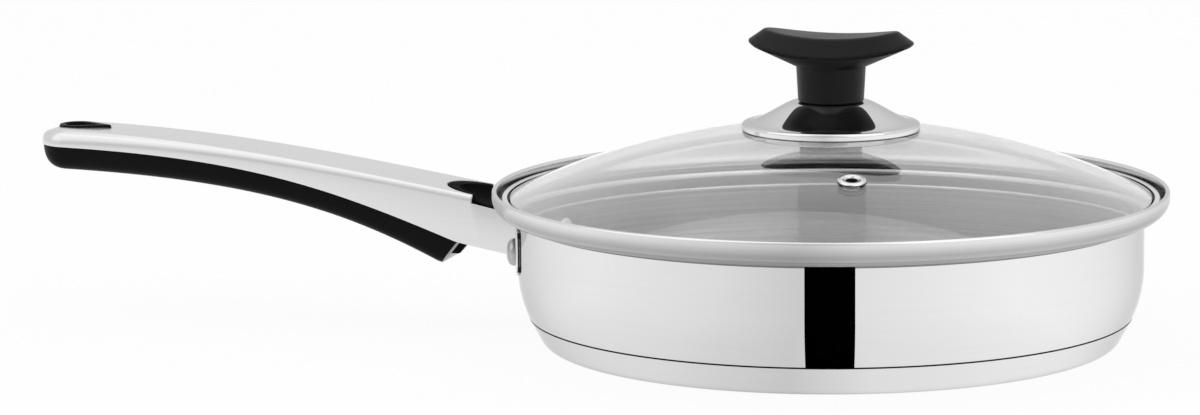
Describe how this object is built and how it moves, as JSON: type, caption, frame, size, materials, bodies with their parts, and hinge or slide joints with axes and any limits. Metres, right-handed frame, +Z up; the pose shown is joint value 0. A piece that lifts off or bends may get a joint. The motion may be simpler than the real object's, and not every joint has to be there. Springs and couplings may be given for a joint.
{
  "type": "frying pan with lid",
  "caption": "Steel frying pan with a riveted hollow handle, a black grip with a hanging eye, and a domed glass lid in a steel band with a saddle knob that lifts off and turns.",
  "frame": {"origin": "centre of the flat bottom of the pan, on the surface it stands on", "axes": "+Z up along the pan's axis; the handle points along -X; Y across the handle"},
  "size_m": [0.4526, 0.261, 0.121],
  "materials": {
    "polished_steel": "polished stainless steel",
    "satin_steel": "satin stainless steel",
    "core_aluminium": "rolled, hidden in the base",
    "black_plastic": "fine satin",
    "seal_rubber": "smooth",
    "lid_glass": "clear, polished",
    "insert_brass": "turned, hidden in the knob"
  },
  "bodies": {
    "pan": {"pan_shell": "polished_steel", "base_core": "core_aluminium", "base_cap": "polished_steel", "handle_shell": "satin_steel", "rivet_near": "polished_steel", "rivet_far": "polished_steel", "heat_guard": "black_plastic", "handle_grip": "black_plastic", "grip_boss": "satin_steel", "grip_screw": "satin_steel", "hanging_eye": "black_plastic"},
    "lid_carrier": {"knob_washer": "polished_steel"},
    "lid": {"lid_band": "polished_steel", "lid_seal": "seal_rubber", "lid_glass": "lid_glass", "vent_eyelet": "polished_steel", "vent_washer": "polished_steel", "knob_plate": "polished_steel", "plate_gasket": "seal_rubber", "knob": "black_plastic", "knob_seal": "seal_rubber", "knob_screw": "polished_steel", "knob_insert": "insert_brass"}
  },
  "joints": [
    {"name": "lid_lift", "type": "slide", "parent": "pan", "child": "lid_carrier", "axis": [0, 0, 1], "range_m": [0, 0.2]},
    {"name": "lid_turn", "type": "hinge", "parent": "lid_carrier", "child": "lid", "pos_m": [0, 0, 0.08], "axis": [0, 0, 1], "continuous": true}
  ]
}
